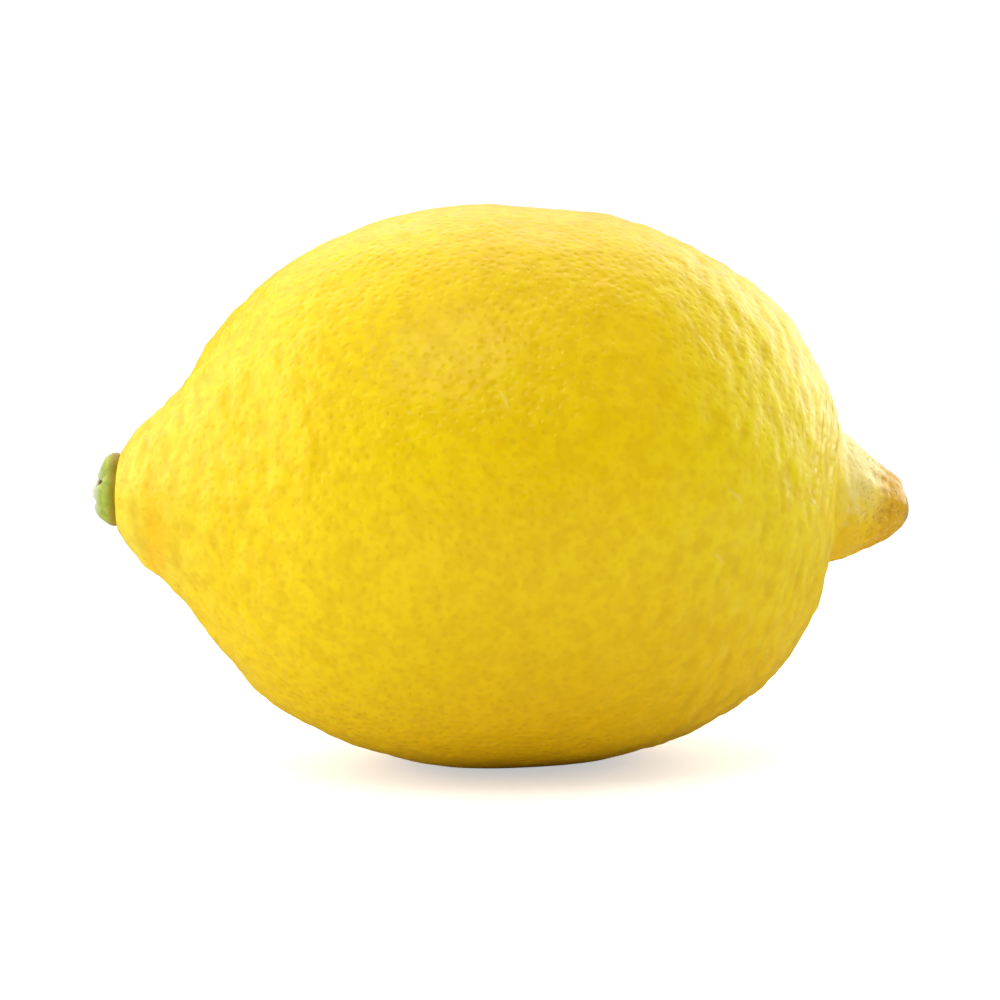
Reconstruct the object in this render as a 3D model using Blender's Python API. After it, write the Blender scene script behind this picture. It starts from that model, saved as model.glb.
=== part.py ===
"""A whole fresh lemon, lying on its side with its stem end towards -X and its nipple towards +X.

The fruit grew as one piece, so its rind, neck and nipple are one solid. The green calyx button and
the clipped end of the stalk inside it are pieces of their own. Every piece is a sphere whose rings
are moved onto an outline, which is how a turned shape with closed poles is made without a seam.
"""

import math

import bmesh
import bpy
import numpy as np
from mathutils import Matrix, Vector

MM = 0.001

# The fruit's outline, as (distance along the core, radius) in mm. It starts at the middle of the
# seat under the calyx and runs over the neck, the belly and the shoulder to the end of the nipple.
SEAT = [(-40.1, 0.0), (-40.12, 1.8), (-40.2, 3.3), (-40.5, 3.95), (-40.75, 4.4)]
NECK = [(-40.35, 5.2), (-39.0, 7.0), (-37.0, 8.8), (-34.5, 11.2), (-30.5, 16.6)]
BELLY = [(-24.5, 23.0), (-16.0, 27.8), (-6.0, 30.4), (4.0, 30.7), (14.0, 29.6), (23.0, 26.3)]
SHOULDER = [(30.0, 21.8), (34.7, 16.1), (36.9, 11.7), (37.6, 9.4)]
NIPPLE = [(38.5, 8.2), (41.0, 6.8), (43.6, 5.2), (46.0, 3.7), (48.0, 2.3), (48.9, 1.2), (49.2, 0.0)]
FRUIT_OUTLINE = SEAT + NECK + BELLY + SHOULDER + NIPPLE

# The calyx button, from the middle of the socket round the stalk to the middle of its back.
SOCKET = [(-42.1, 0.0), (-42.12, 1.2), (-42.6, 1.48), (-43.15, 1.6)]
BUTTON = [(-43.4, 2.05), (-43.15, 2.75), (-42.65, 3.4), (-42.0, 3.85), (-41.35, 3.95), (-40.85, 3.55)]
CALYX_OUTLINE = SOCKET + BUTTON + [(-40.6, 2.6), (-40.5, 0.0)]

# The stalk is clipped a little above the face of the button.
STALK_END = -43.7 * MM
STALK_FOOT = -42.45 * MM
STALK_RADIUS = 1.12 * MM
STALK_ROUNDING = 0.22 * MM

# How the grown shape differs from a turned one. Lobes are (count, share of the radius, turn).
BELLY_LOBES = [(2, 0.006, 0.7), (3, 0.005, 2.1), (5, 0.003, 0.4)]
NECK_FLUTES = 9
NECK_FLUTE_DEPTH = 0.22 * MM
NIPPLE_RIBS = 7
NIPPLE_RIB_DEPTH = 0.16 * MM
SEPALS = 5
SEPAL_NOTCH = 0.07

# The core bows: both ends sag by this much at this distance from the middle. The neck and the
# nipple bend off it as well: (where, over what length, droop, sideways).
CORE_BOW = 0.55 * MM
CORE_BOW_REACH = 40.0 * MM
NECK_BEND = (-30.0 * MM, -9.0 * MM, math.radians(-1.0), math.radians(-13.0))
NIPPLE_BEND = (34.0 * MM, 5.0 * MM, math.radians(6.5), math.radians(0.0))

# How it lies: the nipple end a little lower, on a spot that its weight has flattened.
PITCH = math.radians(2.0)
FLAT_SPOT_DEPTH = 0.5 * MM

FRUIT_SEGMENTS = 56
CALYX_SEGMENTS = 35
STALK_SEGMENTS = 20
RINGS_PER_SPAN = 2

COLLECTION = "lemon"


def clear_scene():
    for old in list(bpy.data.objects):
        bpy.data.objects.remove(old, do_unlink=True)


def material(name, colour, roughness):
    made = bpy.data.materials.new(name)
    made.use_nodes = True
    shader = made.node_tree.nodes["Principled BSDF"]
    shader.inputs["Base Color"].default_value = (*colour, 1.0)
    shader.inputs["Roughness"].default_value = roughness
    shader.inputs["Metallic"].default_value = 0.0
    return made


def smooth_step(value):
    value = np.clip(value, 0.0, 1.0)
    return value * value * (3.0 - 2.0 * value)


def along_outline(outline, place):
    """The point at each place, counted in spans from the first point, on a smooth curve through
    all of them. Both ends leave the core at a right angle, so the poles stay round."""
    points = np.array(outline) * MM
    chord = np.diff(points, axis=0)
    length = np.linalg.norm(chord, axis=1)[:, None]
    slope = chord / length
    middle = (slope[:-1] * length[1:] + slope[1:] * length[:-1]) / (length[:-1] + length[1:])
    tangent = np.vstack([[0.0, 1.0], middle, [0.0, -1.0]])
    span = np.clip(place.astype(int), 0, len(chord) - 1)
    t = (place - span)[:, None]
    start = points[span] * (1 + 2 * t) * (1 - t) ** 2 + tangent[span] * length[span] * t * (1 - t) ** 2
    end = points[span + 1] * (3 - 2 * t) * t ** 2 + tangent[span + 1] * length[span] * t ** 2 * (t - 1)
    return start + end


def fruit_swell(axial, radius, turn):
    """The radius of the fruit at each turn: lobes on the belly, flutes on the neck, ribs on the nipple."""
    lobes = sum(share * np.cos(count * turn + phase) for count, share, phase in BELLY_LOBES)
    belly = smooth_step((radius - 12.0 * MM) / (14.0 * MM))
    neck = smooth_step((radius - 5.5 * MM) / (3.0 * MM)) * smooth_step((-30.0 * MM - axial) / (6.0 * MM))
    nipple = smooth_step((axial - 39.0 * MM) / (3.0 * MM)) * smooth_step((radius - 1.5 * MM) / (2.0 * MM))
    flutes = NECK_FLUTE_DEPTH * np.cos(NECK_FLUTES * turn + 0.8)
    ribs = NIPPLE_RIB_DEPTH * np.cos(NIPPLE_RIBS * turn + 1.9)
    return radius * (1.0 + belly * lobes) + neck * flutes + nipple * ribs


def calyx_swell(axial, radius, turn):
    """The radius of the calyx: a notch between each two sepals, none in the socket."""
    notch = (0.5 - 0.5 * np.cos(SEPALS * turn)) ** 4
    outer = smooth_step((radius - 2.2 * MM) / (1.6 * MM))
    return radius * (1.0 - SEPAL_NOTCH * outer * notch)


def bend(points, start, reach, droop, sideways):
    """Turn what lies beyond start, more and more over the reach, about an axis through start."""
    weight = smooth_step((points[:, 0] - start) / reach)
    x, y, z = points[:, 0] - start, points[:, 1], points[:, 2]
    down, side = droop * weight, sideways * weight
    x, z = x * np.cos(down) + z * np.sin(down), z * np.cos(down) - x * np.sin(down)
    x, y = x * np.cos(side) - y * np.sin(side), y * np.cos(side) + x * np.sin(side)
    return np.column_stack([x + start, y, z])


def grow(points):
    """The bow and the bends that the fruit and whatever sits on its stem end share."""
    bowed = bend(bend(points, *NECK_BEND), *NIPPLE_BEND)
    bowed[:, 2] -= CORE_BOW * (bowed[:, 0] / CORE_BOW_REACH) ** 2
    return bowed


def turned_mesh(name, outline, segments, swell):
    """A sphere whose rings are moved onto an outline round the X axis, its first pole at -X."""
    spans = len(outline) - 1
    mesh = bpy.data.meshes.new(name)
    shape = bmesh.new()
    bmesh.ops.create_uvsphere(shape, u_segments=segments, v_segments=spans * RINGS_PER_SPAN, radius=1.0)
    unit = np.array([vertex.co[:] for vertex in shape.verts])
    place = np.arccos(np.clip(unit[:, 2], -1.0, 1.0)) / math.pi * spans
    turn = np.arctan2(unit[:, 1], unit[:, 0])
    axial, radius = along_outline(outline, np.round(place * RINGS_PER_SPAN) / RINGS_PER_SPAN).T
    radius = swell(axial, radius, turn)
    points = grow(np.column_stack([axial, radius * np.sin(turn), radius * np.cos(turn)]))
    for vertex, point in zip(shape.verts, points):
        vertex.co = point
    shape.to_mesh(mesh)
    shape.free()
    return mesh


def flatten_underside(mesh, tilt):
    """Cut the rest spot, level when the fruit lies at its tilt, and close it with one flat face."""
    down = tilt.inverted() @ Vector((0.0, 0.0, -1.0))
    lowest = max(vertex.co.dot(down) for vertex in mesh.vertices)
    shape = bmesh.new()
    shape.from_mesh(mesh)
    everything = [*shape.verts, *shape.edges, *shape.faces]
    plane_point = down * (lowest - FLAT_SPOT_DEPTH)
    bmesh.ops.bisect_plane(
        shape, geom=everything, dist=0.00001, plane_co=plane_point, plane_no=down, clear_outer=True
    )
    rim = [edge for edge in shape.edges if edge.is_boundary]
    bmesh.ops.contextual_create(shape, geom=rim)
    bmesh.ops.recalc_face_normals(shape, faces=shape.faces)
    shape.to_mesh(mesh)
    shape.free()


def add_piece(mesh, parent, look):
    mesh.shade_smooth()
    mesh.set_sharp_from_angle(angle=math.radians(50.0))
    mesh.materials.append(look)
    piece = bpy.data.objects.new(mesh.name, mesh)
    piece.parent = parent
    bpy.data.collections[COLLECTION].objects.link(piece)
    return piece


def make_fruit(parent, tilt):
    mesh = turned_mesh("fruit", FRUIT_OUTLINE, FRUIT_SEGMENTS, fruit_swell)
    flatten_underside(mesh, tilt)
    return add_piece(mesh, parent, material("lemon_rind", (0.83, 0.59, 0.01), 0.42))


def make_calyx(parent):
    mesh = turned_mesh("calyx", CALYX_OUTLINE, CALYX_SEGMENTS, calyx_swell)
    return add_piece(mesh, parent, material("green_calyx", (0.38, 0.42, 0.04), 0.5))


def make_stalk_stub(parent):
    """The clipped stalk: a short rounded peg that stands in the socket of the button."""
    mesh = bpy.data.meshes.new("stalk_stub")
    shape = bmesh.new()
    length = STALK_FOOT - STALK_END
    along_core = Matrix.Rotation(math.radians(90.0), 4, "Y")
    centre = Matrix.Translation(((STALK_FOOT + STALK_END) / 2, 0.0, 0.0))
    bmesh.ops.create_cone(
        shape, cap_ends=True, segments=STALK_SEGMENTS, radius1=STALK_RADIUS, radius2=STALK_RADIUS,
        depth=length, matrix=centre @ along_core,
    )
    rims = [edge for edge in shape.edges if edge.calc_face_angle() > math.radians(60.0)]
    bmesh.ops.bevel(shape, geom=rims, offset=STALK_ROUNDING, segments=2, profile=0.5, affect="EDGES")
    points = grow(np.array([vertex.co[:] for vertex in shape.verts]))
    for vertex, point in zip(shape.verts, points):
        vertex.co = point
    shape.to_mesh(mesh)
    shape.free()
    return add_piece(mesh, parent, material("cut_stalk", (0.55, 0.5, 0.28), 0.7))


def stand_on_origin(frame, tilt, pieces):
    """Put the flat spot on z = 0 and the middle of the whole lemon's box over the origin."""
    corners = np.array([tilt @ vertex.co for piece in pieces for vertex in piece.data.vertices])
    low, high = corners.min(axis=0), corners.max(axis=0)
    frame.location = (-(low[0] + high[0]) / 2, -(low[1] + high[1]) / 2, -low[2])


def main():
    clear_scene()
    collection = bpy.data.collections.new(COLLECTION)
    bpy.context.scene.collection.children.link(collection)
    frame = bpy.data.objects.new("lying_frame", None)
    frame.rotation_euler = (0.0, PITCH, 0.0)
    collection.objects.link(frame)
    tilt = Matrix.Rotation(PITCH, 3, "Y")
    pieces = [make_fruit(frame, tilt), make_calyx(frame), make_stalk_stub(frame)]
    stand_on_origin(frame, tilt, pieces)
    bpy.context.view_layer.update()


main()
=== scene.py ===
# %% [markdown]
# # A whole lemon on a white sweep
# The lemon lies on its side: stem end to the left, nipple to the right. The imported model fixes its
# size and place, and this script gives every piece its real surface: the pitted waxy rind, the
# plump green calyx button and the clipped stalk in the middle of it.

import math

import bpy
import numpy as np
from mathutils import Matrix, Vector


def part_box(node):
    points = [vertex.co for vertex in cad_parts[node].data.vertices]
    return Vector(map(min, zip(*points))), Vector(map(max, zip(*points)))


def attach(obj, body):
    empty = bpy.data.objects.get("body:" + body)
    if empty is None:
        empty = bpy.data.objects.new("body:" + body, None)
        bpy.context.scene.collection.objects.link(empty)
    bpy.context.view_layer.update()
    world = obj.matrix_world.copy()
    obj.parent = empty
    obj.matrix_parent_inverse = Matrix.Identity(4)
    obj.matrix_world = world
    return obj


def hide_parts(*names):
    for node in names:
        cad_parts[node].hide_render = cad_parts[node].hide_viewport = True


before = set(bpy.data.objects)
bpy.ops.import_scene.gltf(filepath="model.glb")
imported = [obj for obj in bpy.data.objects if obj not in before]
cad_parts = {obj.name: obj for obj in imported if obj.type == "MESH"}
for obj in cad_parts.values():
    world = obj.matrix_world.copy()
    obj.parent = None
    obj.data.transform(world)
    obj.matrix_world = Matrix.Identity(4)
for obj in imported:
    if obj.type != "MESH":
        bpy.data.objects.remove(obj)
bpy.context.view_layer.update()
MM = 0.001
print("nodes:", sorted(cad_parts))

# %% [markdown]
# ## Helpers for nodes and colours
# Materials, the light tent and Geometry Nodes trees are all made of nodes with settings and inputs,
# so one small function adds a node to any of them. A mask says how much of something there is at a
# place: it is a product of smooth steps. Colours are written as sRGB hex, as a colour picker shows
# them, and one function turns them into the linear values that the shaders work in.

# %% Helpers
def add_node(tree, kind, *values, named=(), out=0, **settings):
    """Add a node, set its properties, fill its inputs in order and by name, and give one output
    (or all of them where out is None)."""
    node = tree.nodes.new(kind)
    for name, setting in settings.items():
        setattr(node, name, setting)
    for key, value in [*enumerate(values), *dict(named).items()]:
        socket = node.inputs[key]
        if isinstance(value, bpy.types.NodeSocket):
            tree.links.new(value, socket)
        else:
            socket.default_value = value
    if out is None:
        return node.outputs
    return node.outputs[out] if len(node.outputs) else None


def mask(tree, *steps):
    """The product of smooth steps. Each is (value, start, end), which goes from 0 to 1, or
    (value, start, end, low, high)."""
    rises = [add_node(tree, "ShaderNodeMapRange", *step, interpolation_type="SMOOTHSTEP") for step in steps]
    product = rises[0]
    for rise in rises[1:]:
        product = add_node(tree, "ShaderNodeMath", product, rise, operation="MULTIPLY")
    return product


def linear(hex_colour):
    """The linear RGBA of an sRGB hex colour such as "F2CC0C"."""
    parts = [int(hex_colour[i:i + 2], 16) / 255 for i in (0, 2, 4)]
    return [c / 12.92 if c <= 0.04045 else ((c + 0.055) / 1.055) ** 2.4 for c in parts] + [1.0]


print("rind yellow in linear light:", [round(c, 3) for c in linear("EFC800")])

# %% [markdown]
# ## Camera
# A product lens looks slightly down and a little towards the stem end, so the shoulder hides the
# root of the nipple. The camera aims just beside the middle of the fruit, which frames it with
# even margins.

# %% Camera
VIEW_AZIMUTH = math.radians(-13.0)
VIEW_ELEVATION = math.radians(8.0)
VIEW_DISTANCE = 0.36
VIEW_WIDTH = 110.51 * MM
AIM_HEIGHT = 30.7 * MM
AIM_OFFSET = (-1.56 * MM, -1.83 * MM)
SENSOR_WIDTH_MM = 36.0

toward_camera = Vector((
    math.sin(VIEW_AZIMUTH) * math.cos(VIEW_ELEVATION),
    -math.cos(VIEW_AZIMUTH) * math.cos(VIEW_ELEVATION),
    math.sin(VIEW_ELEVATION),
))
view_right = Vector((math.cos(VIEW_AZIMUTH), math.sin(VIEW_AZIMUTH), 0.0))
view_up = toward_camera.cross(view_right)
aim = Vector((0.0, 0.0, AIM_HEIGHT)) + view_right * AIM_OFFSET[0] + view_up * AIM_OFFSET[1]

lens = bpy.data.cameras.new("studio_camera")
lens.sensor_width = SENSOR_WIDTH_MM
lens.lens = SENSOR_WIDTH_MM * VIEW_DISTANCE / VIEW_WIDTH
lens.clip_start = 0.01
camera = bpy.data.objects.new("studio_camera", lens)
bpy.context.scene.collection.objects.link(camera)
camera.location = aim + toward_camera * VIEW_DISTANCE
camera.rotation_euler = Matrix((view_right, view_up, toward_camera)).transposed().to_euler()
bpy.context.scene.camera = camera
bpy.context.scene.view_settings.view_transform = "Standard"
print("lens:", round(lens.lens, 1), "mm at", VIEW_DISTANCE, "m")

# %% [markdown]
# ## Studio
# Fruit for a catalogue is lit inside a white tent, so its light is all around it: broad panels that
# fade into each other. A polarising filter on the lens takes most of the tent's even glow out of the
# fruit's gloss, above all in front where the camera stands, and leaves the panels: they draw the
# pale sheen along the edges, while the middle stays clear and saturated. The tent is the world: each
# panel is a direction, the angles between which it fades, and its brightness.

# %% Studio light
TENT_GLOW = 0.345
TENT_PANELS = [
    # (direction, full inside this many degrees, gone outside this many, brightness)
    ((-0.85, 0.40, 0.30), 15.0, 45.0, 2.3),
    ((0.10, 0.62, 0.75), 15.0, 45.0, 1.9),
    ((0.85, 0.50, 0.15), 12.0, 38.0, 3.0),
    ((-0.20, -0.45, 0.87), 4.0, 20.0, 5.5),
    ((0.85, -0.05, 0.50), 6.0, 24.0, 1.0),
    ((-0.90, -0.25, 0.30), 8.0, 35.0, 0.75),
]
GAP_INNER = 15.0
GAP_OUTER = 55.0
GAP_DEPTH = 0.60
FILTER_ON_GLOW = 0.8
FILTER_ON_GAP = 0.40
BACKDROP = 1.05


def angle_fade(tree, direction, toward, inner, outer):
    """1 within the inner angle of a direction, 0 past the outer angle, in degrees."""
    aim_at = tuple(Vector(toward).normalized())
    cosine = add_node(tree, "ShaderNodeVectorMath", direction, aim_at, out="Value", operation="DOT_PRODUCT")
    return mask(tree, (cosine, math.cos(math.radians(outer)), math.cos(math.radians(inner))))


world = bpy.data.worlds.new("light_tent")
world.use_nodes = True
tent = world.node_tree
tent.nodes.clear()
looking = add_node(tent, "ShaderNodeTexCoord", out="Generated")
ray = add_node(tent, "ShaderNodeLightPath", out=None)
glow = (ray["Is Glossy Ray"], -TENT_GLOW * FILTER_ON_GLOW, TENT_GLOW)
brightness = add_node(tent, "ShaderNodeMath", *glow, operation="MULTIPLY_ADD")
for toward, inner, outer, strength in TENT_PANELS:
    panel = angle_fade(tent, looking, toward, inner, outer)
    brightness = add_node(tent, "ShaderNodeMath", panel, strength, brightness, operation="MULTIPLY_ADD")
depth = (ray["Is Glossy Ray"], FILTER_ON_GAP, GAP_DEPTH)
depth = add_node(tent, "ShaderNodeMath", *depth, operation="MULTIPLY_ADD")
gap = angle_fade(tent, looking, toward_camera, GAP_INNER, GAP_OUTER)
gap = add_node(tent, "ShaderNodeMath", gap, depth, operation="MULTIPLY")
kept = add_node(tent, "ShaderNodeMath", 1.0, gap, operation="SUBTRACT")
brightness = add_node(tent, "ShaderNodeMath", brightness, kept, operation="MULTIPLY")
shown = add_node(tent, "ShaderNodeMix", named={
    "Factor": ray["Is Camera Ray"], "A": brightness, "B": BACKDROP,
}, data_type="FLOAT")
tent_light = add_node(tent, "ShaderNodeBackground", (1.0, 1.0, 1.0, 1.0), shown)
add_node(tent, "ShaderNodeOutputWorld", tent_light)
bpy.context.scene.world = world
print("tent panels:", len(TENT_PANELS))

# %% [markdown]
# ## Floor
# White paper, lit until it burns out to pure white as catalogue pictures do: only the soft shadow
# that the fruit drops close to itself is left. To the camera the paper glows a little, which lifts
# that shadow, and further out it is plain white. To the fruit it is ordinary matt paper.

# %% Floor
FLOOR_HALF_WIDTH = 1.5
PAPER_WHITE = 0.88
PAPER_IN_GLOSS = 0.12
SHADOW_LIFT = 0.51
PLAIN_FROM = 70 * MM
PLAIN_TO = 200 * MM
PLAIN_WHITE = 1.02

floor_mesh = bpy.data.meshes.new("white_sweep")
corners = [(x * FLOOR_HALF_WIDTH, y * FLOOR_HALF_WIDTH, 0.0)
           for x, y in ((-1, -1), (1, -1), (1, 1), (-1, 1))]
floor_mesh.from_pydata(corners, [], [(0, 1, 2, 3)])
floor = bpy.data.objects.new("white_sweep", floor_mesh)
bpy.context.scene.collection.objects.link(floor)

paper = bpy.data.materials.new("white_paper")
paper.use_nodes = True
tree = paper.node_tree
tree.nodes.clear()
spot = add_node(tree, "ShaderNodeTexCoord", out="Object")
reach = add_node(tree, "ShaderNodeVectorMath", spot, out="Value", operation="LENGTH")
plain = mask(tree, (reach, PLAIN_FROM, PLAIN_TO))
ray = add_node(tree, "ShaderNodeLightPath", out=None)
grey = (ray["Is Glossy Ray"], PAPER_IN_GLOSS - PAPER_WHITE, PAPER_WHITE)
grey = add_node(tree, "ShaderNodeMath", *grey, operation="MULTIPLY_ADD")
matt = add_node(tree, "ShaderNodeBsdfDiffuse", grey)
lift = add_node(tree, "ShaderNodeEmission", named={"Strength": SHADOW_LIFT})
lifted = add_node(tree, "ShaderNodeAddShader", matt, lift)
white = add_node(tree, "ShaderNodeEmission", named={"Strength": PLAIN_WHITE})
shown = add_node(tree, "ShaderNodeMixShader", plain, lifted, white)
sweep = add_node(tree, "ShaderNodeMixShader", ray["Is Camera Ray"], matt, shown)
add_node(tree, "ShaderNodeOutputMaterial", sweep)
floor_mesh.materials.append(paper)
print("floor:", 2 * FLOOR_HALF_WIDTH, "m square, plain white past", PLAIN_TO, "m")

# %% [markdown]
# ## The outline that all three pieces are turned on
# A lemon is nearly a shape of revolution, so its form is one outline: a list of points, each a
# distance along the core and a radius, in millimetres, with a smooth curve through them. The
# fruit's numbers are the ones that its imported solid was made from, and the button's and the stalk's
# are a little fuller and rounder than theirs. A Screw modifier could spin an outline as a lathe
# does, but its quads bunch up at both poles. Instead a finely divided ball is moved onto the
# outline, which keeps the quads even and the poles closed.

# %% Outlines
SEAT = [(-40.1, 0.0), (-40.12, 1.8), (-40.2, 3.3), (-40.5, 3.95), (-40.75, 4.4)]
NECK = [(-40.35, 5.2), (-39.0, 7.0), (-37.0, 8.8), (-34.5, 11.2), (-30.5, 16.6)]
BELLY = [(-24.5, 23.0), (-16.0, 27.8), (-6.0, 30.4), (4.0, 30.7), (14.0, 29.6), (23.0, 26.3)]
SHOULDER = [(30.0, 21.8), (34.7, 16.1), (36.9, 11.7), (37.6, 9.4)]
NIPPLE = [(38.5, 8.2), (41.0, 6.8), (43.6, 5.2), (46.0, 3.7), (48.0, 2.3), (48.9, 1.2), (49.2, 0.0)]
FRUIT_OUTLINE = SEAT + NECK + BELLY + SHOULDER + NIPPLE

SOCKET = [(-42.0, 0.0), (-42.05, 1.0), (-42.45, 1.3), (-42.95, 1.42)]
BUTTON = [(-43.28, 1.85), (-43.1, 2.5), (-42.65, 3.2), (-42.0, 3.75), (-41.35, 4.0), (-40.85, 3.85)]
FOOT = [(-40.45, 3.2), (-40.35, 0.0)]
CALYX_OUTLINE = SOCKET + BUTTON + FOOT

STALK_CUT = [(-43.55, 0.0), (-43.5, 0.45), (-43.58, 0.85)]
STALK_SIDE = [(-43.35, 1.05), (-42.8, 1.08), (-42.25, 1.0), (-42.2, 0.0)]
STALK_OUTLINE = STALK_CUT + STALK_SIDE

print("outline points:", len(FRUIT_OUTLINE), len(CALYX_OUTLINE), len(STALK_OUTLINE))

# %% [markdown]
# ## A smooth curve through an outline
# Each span between two points is a Hermite curve: it starts and ends in the directions of the
# smooth line through the neighbouring points, so there is no corner between spans. It becomes a
# curve object, which Geometry Nodes can sample.

# %% Outline curves
POINTS_PER_SPAN = 10


def along_outline(outline, place):
    """The point at each place, counted in spans from the first point, on a smooth curve through
    all of them. Both ends leave the core at a right angle, so the poles stay round."""
    points = np.array(outline) * MM
    chord = np.diff(points, axis=0)
    length = np.linalg.norm(chord, axis=1)[:, None]
    slope = chord / length
    middle = (slope[:-1] * length[1:] + slope[1:] * length[:-1]) / (length[:-1] + length[1:])
    tangent = np.vstack([[0.0, 1.0], middle, [0.0, -1.0]])
    span = np.clip(place.astype(int), 0, len(chord) - 1)
    t = (place - span)[:, None]
    start = points[span] * (1 + 2 * t) * (1 - t) ** 2 + tangent[span] * length[span] * t * (1 - t) ** 2
    end = points[span + 1] * (3 - 2 * t) * t ** 2 + tangent[span + 1] * length[span] * t ** 2 * (t - 1)
    return start + end


def outline_object(name, outline):
    """The outline as a curve object in the XY plane: X along the core, Y the radius."""
    spans = len(outline) - 1
    points = along_outline(outline, np.linspace(0.0, spans, spans * POINTS_PER_SPAN + 1))
    curve = bpy.data.curves.new(name, "CURVE")
    curve.dimensions = "3D"
    spline = curve.splines.new("POLY")
    spline.points.add(len(points) - 1)
    for point, (axial, radius) in zip(spline.points, points):
        point.co = (axial, max(radius, 0.0), 0.0, 1.0)
    made = bpy.data.objects.new(name, curve)
    bpy.context.scene.collection.objects.link(made)
    return made


rim = along_outline(FRUIT_OUTLINE, np.linspace(0.0, len(FRUIT_OUTLINE) - 1, 500))
print("widest radius of the outline in mm:", round(rim[:, 1].max() / MM, 2))

# %% [markdown]
# ## Turning an outline with Geometry Nodes
# The tree starts from a gridded cube. A tangent warp and a normalize turn it into a ball of even
# quads. Each point's angle from the first pole is its place along the outline, a Sample Curve node
# reads the axial distance and the radius there, and the point moves to that radius in its own
# direction. The distances along and from the core are stored as attributes, for the materials.

# %% Geometry Nodes: a ball on an outline
def new_tree(name, inputs):
    """An empty Geometry Nodes tree with a geometry output and named inputs (name, kind, value)."""
    tree = bpy.data.node_groups.new(name, "GeometryNodeTree")
    tree.interface.new_socket("Geometry", in_out="OUTPUT", socket_type="NodeSocketGeometry")
    for label, kind, value in inputs:
        socket = tree.interface.new_socket(label, in_out="INPUT", socket_type=kind)
        if value is not None:
            socket.default_value = value
    return tree


def finish_tree(tree, geometry, material):
    """End a tree with real geometry that has its material."""
    real = add_node(tree, "GeometryNodeRealizeInstances", geometry)
    skinned = add_node(tree, "GeometryNodeSetMaterial", real, named={"Material": material})
    add_node(tree, "NodeGroupOutput", skinned)


def turned_tree():
    tree = new_tree("ball_on_an_outline", [
        ("Outline", "NodeSocketObject", None),
        ("Cells", "NodeSocketInt", 32),
        ("Material", "NodeSocketMaterial", None),
    ])
    given = add_node(tree, "NodeGroupInput", out=None)
    side = add_node(tree, "ShaderNodeMath", given["Cells"], 1.0, operation="ADD")
    mesh = add_node(tree, "GeometryNodeMeshCube", (2.0, 2.0, 2.0), side, side, side, out="Mesh")
    position = add_node(tree, "GeometryNodeInputPosition")
    quarter = add_node(tree, "ShaderNodeVectorMath", position, (math.pi / 4,) * 3, operation="MULTIPLY")
    even = add_node(tree, "ShaderNodeVectorMath", quarter, operation="TANGENT")
    ball = add_node(tree, "ShaderNodeVectorMath", even, operation="NORMALIZE")
    part = add_node(tree, "ShaderNodeSeparateXYZ", ball, out=None)
    back = add_node(tree, "ShaderNodeMath", part["X"], -1.0, operation="MULTIPLY")
    angle = add_node(tree, "ShaderNodeMath", back, operation="ARCCOSINE")
    place = add_node(tree, "ShaderNodeMath", angle, math.pi, operation="DIVIDE")

    outline = add_node(tree, "GeometryNodeObjectInfo", given["Outline"], out="Geometry")
    point = add_node(tree, "GeometryNodeSampleCurve", named={
        "Curves": outline, "Factor": place,
    }, out="Position", mode="FACTOR", use_all_curves=True)
    found = add_node(tree, "ShaderNodeSeparateXYZ", point, out=None)
    flat = add_node(tree, "ShaderNodeCombineXYZ", 0.0, part["Y"], part["Z"])
    outward = add_node(tree, "ShaderNodeVectorMath", flat, operation="NORMALIZE")
    ring = add_node(tree, "ShaderNodeVectorMath", outward, named={"Scale": found["Y"]}, operation="SCALE")
    core = add_node(tree, "ShaderNodeCombineXYZ", found["X"])
    moved = add_node(tree, "ShaderNodeVectorMath", ring, core, operation="ADD")
    whole = add_node(tree, "GeometryNodeCurveLength", outline)
    down = add_node(tree, "ShaderNodeMath", place, whole, operation="MULTIPLY")
    for name, value in (("along_core", found["X"]), ("from_core", found["Y"]), ("along_rind", down)):
        mesh = add_node(tree, "GeometryNodeStoreNamedAttribute", named={
            "Geometry": mesh, "Name": name, "Value": value,
        }, data_type="FLOAT", domain="POINT")
    placed = add_node(tree, "GeometryNodeSetPosition", mesh, named={"Position": moved})
    finish_tree(tree, placed, given["Material"])
    return tree


def run_tree(piece, tree, values):
    """Put the tree on the piece, set its inputs, and keep the result as the piece's plain mesh."""
    modifier = piece.modifiers.new(tree.name, "NODES")
    modifier.node_group = tree
    for item in tree.interface.items_tree:
        if item.in_out == "INPUT" and item.name in values:
            modifier[item.identifier] = values[item.name]
    depsgraph = bpy.context.evaluated_depsgraph_get()
    made = bpy.data.meshes.new_from_object(piece.evaluated_get(depsgraph), depsgraph=depsgraph)
    piece.modifiers.remove(modifier)
    old = piece.data
    piece.data = made
    made.name = piece.name
    bpy.data.meshes.remove(old)
    return piece


def turned_piece(name, outline, cells, material):
    """A ball of quads on an outline, made by the tree above and kept as a plain mesh."""
    guide = outline_object(name + "_outline", outline)
    piece = bpy.data.objects.new(name, bpy.data.meshes.new(name))
    bpy.context.scene.collection.objects.link(piece)
    run_tree(piece, TURNED_TREE, {"Outline": guide, "Cells": cells, "Material": material})
    bpy.data.objects.remove(guide)
    print(name, len(piece.data.vertices), "points", len(piece.data.polygons), "quads")
    return piece


TURNED_TREE = turned_tree()
print("nodes in the tree that turns an outline:", len(TURNED_TREE.nodes))

# %% [markdown]
# ## What growing did to the turned shape
# A grown fruit is never quite round. Its belly has faint lobes, its neck is fluted where the stalk
# fed it and its nipple is ribbed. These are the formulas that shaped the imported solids. Each takes
# the distance along the core, the radius and the turn round the core (0 on top, -90 degrees in
# front), and gives the first two back, moved.

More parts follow.
